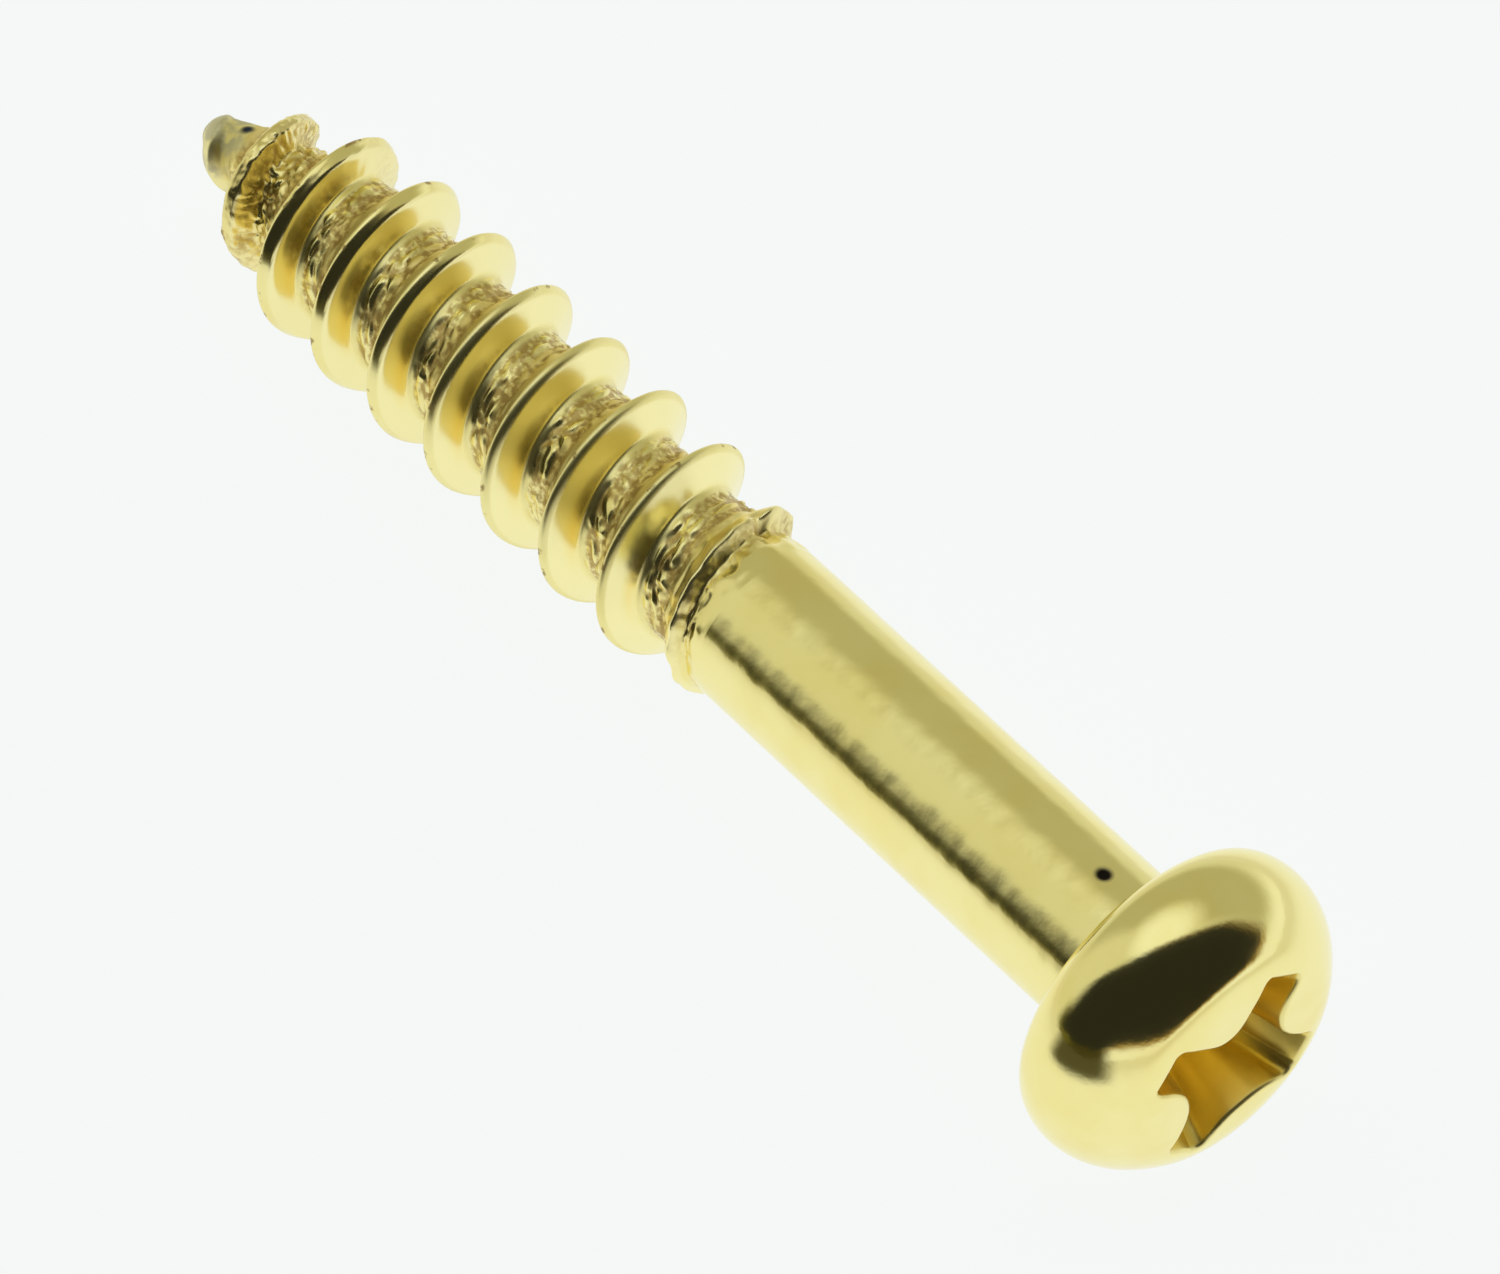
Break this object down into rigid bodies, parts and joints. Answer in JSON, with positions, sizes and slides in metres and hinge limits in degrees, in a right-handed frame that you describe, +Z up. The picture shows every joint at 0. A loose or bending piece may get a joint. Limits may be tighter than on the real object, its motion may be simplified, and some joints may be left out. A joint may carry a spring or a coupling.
{
  "type": "wood screw",
  "caption": "Small yellow-plated wood screw with a low domed, flat-topped cross-recess head, a plain shank, a coarse right-handed rolled thread and a tapering gimlet point.",
  "frame": {"origin": "centre of the flat bearing face under the head, on the screw's axis", "axes": "+X along the screw's axis out of the crown of the head, -X towards the point, +Z up as the screw lies on its side"},
  "size_m": [0.0242, 0.0054, 0.0054],
  "materials": {
    "head_plating": "bright yellow plating on cold-headed steel",
    "shank_plating": "bright yellow plating with a faint orange peel",
    "thread_plating": "bright yellow plating on smooth flanks, rough wrinkled roots from thread rolling",
    "point_plating": "yellow plating, torn and worn to bare steel at the tip"
  },
  "bodies": {
    "root": {"head": "head_plating", "shank": "shank_plating", "threaded_shaft": "thread_plating", "gimlet_point": "point_plating"}
  },
  "joints": []
}
